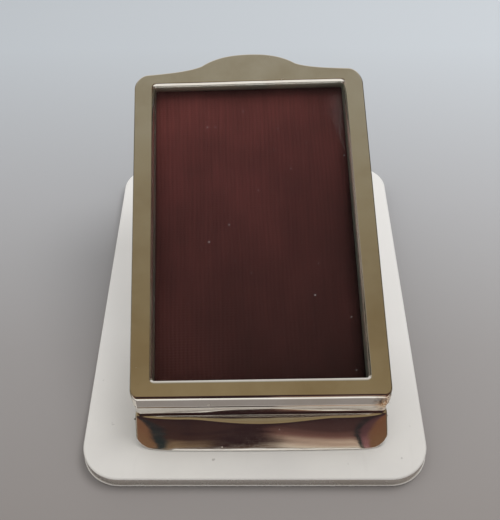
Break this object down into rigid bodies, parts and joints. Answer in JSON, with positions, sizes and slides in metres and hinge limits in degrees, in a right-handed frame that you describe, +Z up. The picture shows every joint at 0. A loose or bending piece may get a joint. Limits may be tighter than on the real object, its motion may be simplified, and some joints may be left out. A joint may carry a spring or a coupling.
{
  "type": "photo clip",
  "caption": "Desk clip for papers: a sprung arm with a glazed photograph frame on it closes a jaw onto a flat rounded plate.",
  "frame": {"origin": "middle of the underside of the base pad, on the surface that the clip stands on", "axes": "+Z up, +Y from the jaw towards the thumb press, +X to the right seen from the jaw"},
  "size_m": [0.0762, 0.1016, 0.0488],
  "materials": {
    "silver": "polished silver with fine scratches",
    "satin_silver": "satin silver, worn and a little marked",
    "warm_silver": "polished silver, slightly tarnished to a warm tone",
    "steel": "drawn steel",
    "brass": "dull brass",
    "rail_wood": "plain unvarnished hardwood",
    "board": "pressed board",
    "maroon_cloth": "ribbed maroon cloth",
    "baize": "felted baize",
    "glass": "clear flat glass, a little dusty"
  },
  "bodies": {
    "base": {"base_plate": "satin_silver", "base_pad": "baize", "base_lug_left": "silver", "base_lug_right": "silver", "hinge_pin": "steel", "spacer_sleeve": "brass", "torsion_spring": "steel"},
    "arm": {"clip_arm": "silver", "arm_lug_left": "silver", "arm_lug_right": "silver", "frame_front": "warm_silver", "side_rail_left": "rail_wood", "side_rail_right": "rail_wood", "near_rail": "rail_wood", "side_pin_left_1": "silver", "side_pin_left_2": "silver", "side_pin_left_3": "silver", "side_pin_right_1": "silver", "side_pin_right_2": "silver", "side_pin_right_3": "silver", "arm_screw_left_1": "brass", "arm_screw_left_2": "brass", "arm_screw_right_1": "brass", "arm_screw_right_2": "brass"},
    "picture_pack": {"glass_pane": "glass", "backing_cloth": "maroon_cloth", "backing_board": "board"}
  },
  "joints": [
    {"name": "arm_hinge", "type": "hinge", "parent": "base", "child": "arm", "pos_m": [0.00019, -0.00345, 0.0141], "axis": [-0.9993, -0.0379, 0], "range_deg": [0, 25], "stiffness_Nm_per_rad": 0.3, "springref_deg": -28.65, "deforming": ["torsion_spring"]},
    {"name": "picture_pack_slide", "type": "slide", "parent": "arm", "child": "picture_pack", "axis": [-0.035, 0.9245, 0.3795], "range_m": [0, 0.07]}
  ]
}
